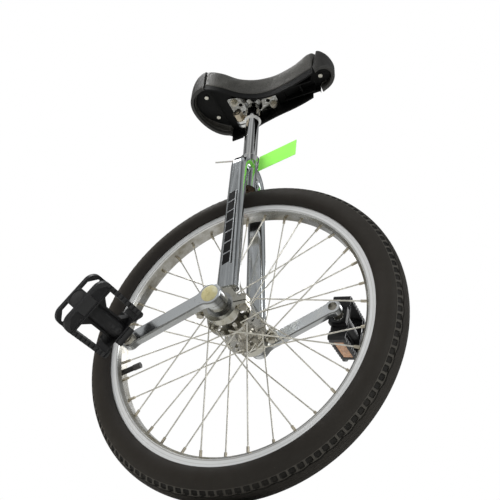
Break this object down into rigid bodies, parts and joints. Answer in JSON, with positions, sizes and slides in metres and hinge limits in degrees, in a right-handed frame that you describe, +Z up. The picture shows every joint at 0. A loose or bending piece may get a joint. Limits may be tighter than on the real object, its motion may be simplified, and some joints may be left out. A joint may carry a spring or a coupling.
{
  "type": "unicycle",
  "caption": "Unicycle: spoked pneumatic wheel on a chrome two-legged fork, fixed cranks with plastic block pedals, and a curved vinyl saddle with bumpers on a height-adjustable post.",
  "frame": {"origin": "on the ground under the axle, at the centre of the wheel's width", "axes": "+Z up, +X the way the rider faces, +Y to the rider's left along the axle"},
  "size_m": [0.494, 0.4008, 0.8081],
  "materials": {
    "chrome": "polished chrome plate",
    "bright_steel": "machined or drawn steel",
    "bearing_steel": "ground bearing steel",
    "rim_steel": "chrome plated steel rim, darker bed",
    "brass": "brass",
    "tyre_rubber": "black tyre rubber",
    "inner_rubber": "black butyl rubber",
    "pedal_plastic": "black moulded plastic",
    "reflector": "amber reflector plastic",
    "cream_plastic": "yellowed white plastic",
    "saddle_plastic": "dark moulded plastic",
    "vinyl": "padded black vinyl over foam",
    "rust": "rusted steel",
    "tag_card": "bright green card",
    "nylon": "white nylon",
    "screw_steel": "zinc plated screw heads"
  },
  "bodies": {
    "frame": {"fork_leg_left": "chrome", "fork_leg_right": "chrome", "steerer_tube": "chrome", "steerer_plug": "rust", "bearing_holder_left": "chrome", "bearing_holder_right": "chrome", "bearing_cap_left": "chrome", "bearing_cap_right": "chrome", "cap_bolts": "bright_steel", "cap_nuts": "bright_steel", "bearing_outer_rings": "bearing_steel", "bearing_shields": "bearing_steel", "seat_collar": "chrome", "collar_bolt": "bright_steel", "collar_nut": "bright_steel", "tag_tie": "nylon", "hang_tag": "tag_card"},
    "seat_post": {"seat_post": "chrome", "saddle_clamp": "chrome", "clamp_bolt": "bright_steel", "clamp_nut": "brass"},
    "saddle": {"saddle_bracket": "chrome", "bracket_bolts": "bright_steel", "saddle_base": "saddle_plastic", "saddle_cover": "vinyl", "rear_bumper": "saddle_plastic", "front_bumper": "saddle_plastic", "base_screws": "screw_steel"},
    "wheel": {"tyre": "tyre_rubber", "inner_tube": "inner_rubber", "rim": "rim_steel", "rim_strip": "inner_rubber", "rim_joint_sleeve": "bright_steel", "valve_stem": "inner_rubber", "valve_cap": "pedal_plastic", "spokes_left": "bright_steel", "spokes_right": "bright_steel", "spoke_nipples": "brass", "hub_barrel": "chrome", "hub_flanges": "chrome", "hub_axle": "bright_steel", "axle_collars": "bright_steel", "bearing_inner_rings": "bearing_steel", "bearing_balls": "bearing_steel", "crank_left": "chrome", "crank_right": "chrome", "crank_bolts": "bright_steel", "dust_caps": "cream_plastic", "pedal_spindle_left": "bright_steel", "pedal_spindle_right": "bright_steel"},
    "pedal_left": {"pedal_body_left": "pedal_plastic", "pedal_reflectors_left": "reflector", "pedal_cap_left": "pedal_plastic", "pedal_balls_left": "bearing_steel"},
    "pedal_right": {"pedal_body_right": "pedal_plastic", "pedal_reflectors_right": "reflector", "pedal_cap_right": "pedal_plastic", "pedal_balls_right": "bearing_steel"}
  },
  "joints": [
    {"name": "wheel_spin", "type": "hinge", "parent": "frame", "child": "wheel", "pos_m": [0, 0, 0.247], "axis": [0, 1, 0], "continuous": true},
    {"name": "pedal_spin_left", "type": "hinge", "parent": "wheel", "child": "pedal_left", "pos_m": [0.12095, 0.1505, 0.29465], "axis": [0, 1, 0], "continuous": true},
    {"name": "pedal_spin_right", "type": "hinge", "parent": "wheel", "child": "pedal_right", "pos_m": [-0.12095, -0.1505, 0.19935], "axis": [0, 1, 0], "continuous": true},
    {"name": "seat_height", "type": "slide", "parent": "frame", "child": "seat_post", "axis": [0, 0, 1], "range_m": [-0.01, 0.02]},
    {"name": "saddle_turn", "type": "hinge", "parent": "seat_post", "child": "saddle", "pos_m": [0, 0, 0.7], "axis": [0, 0, 1], "range_deg": [-15, 15]}
  ]
}
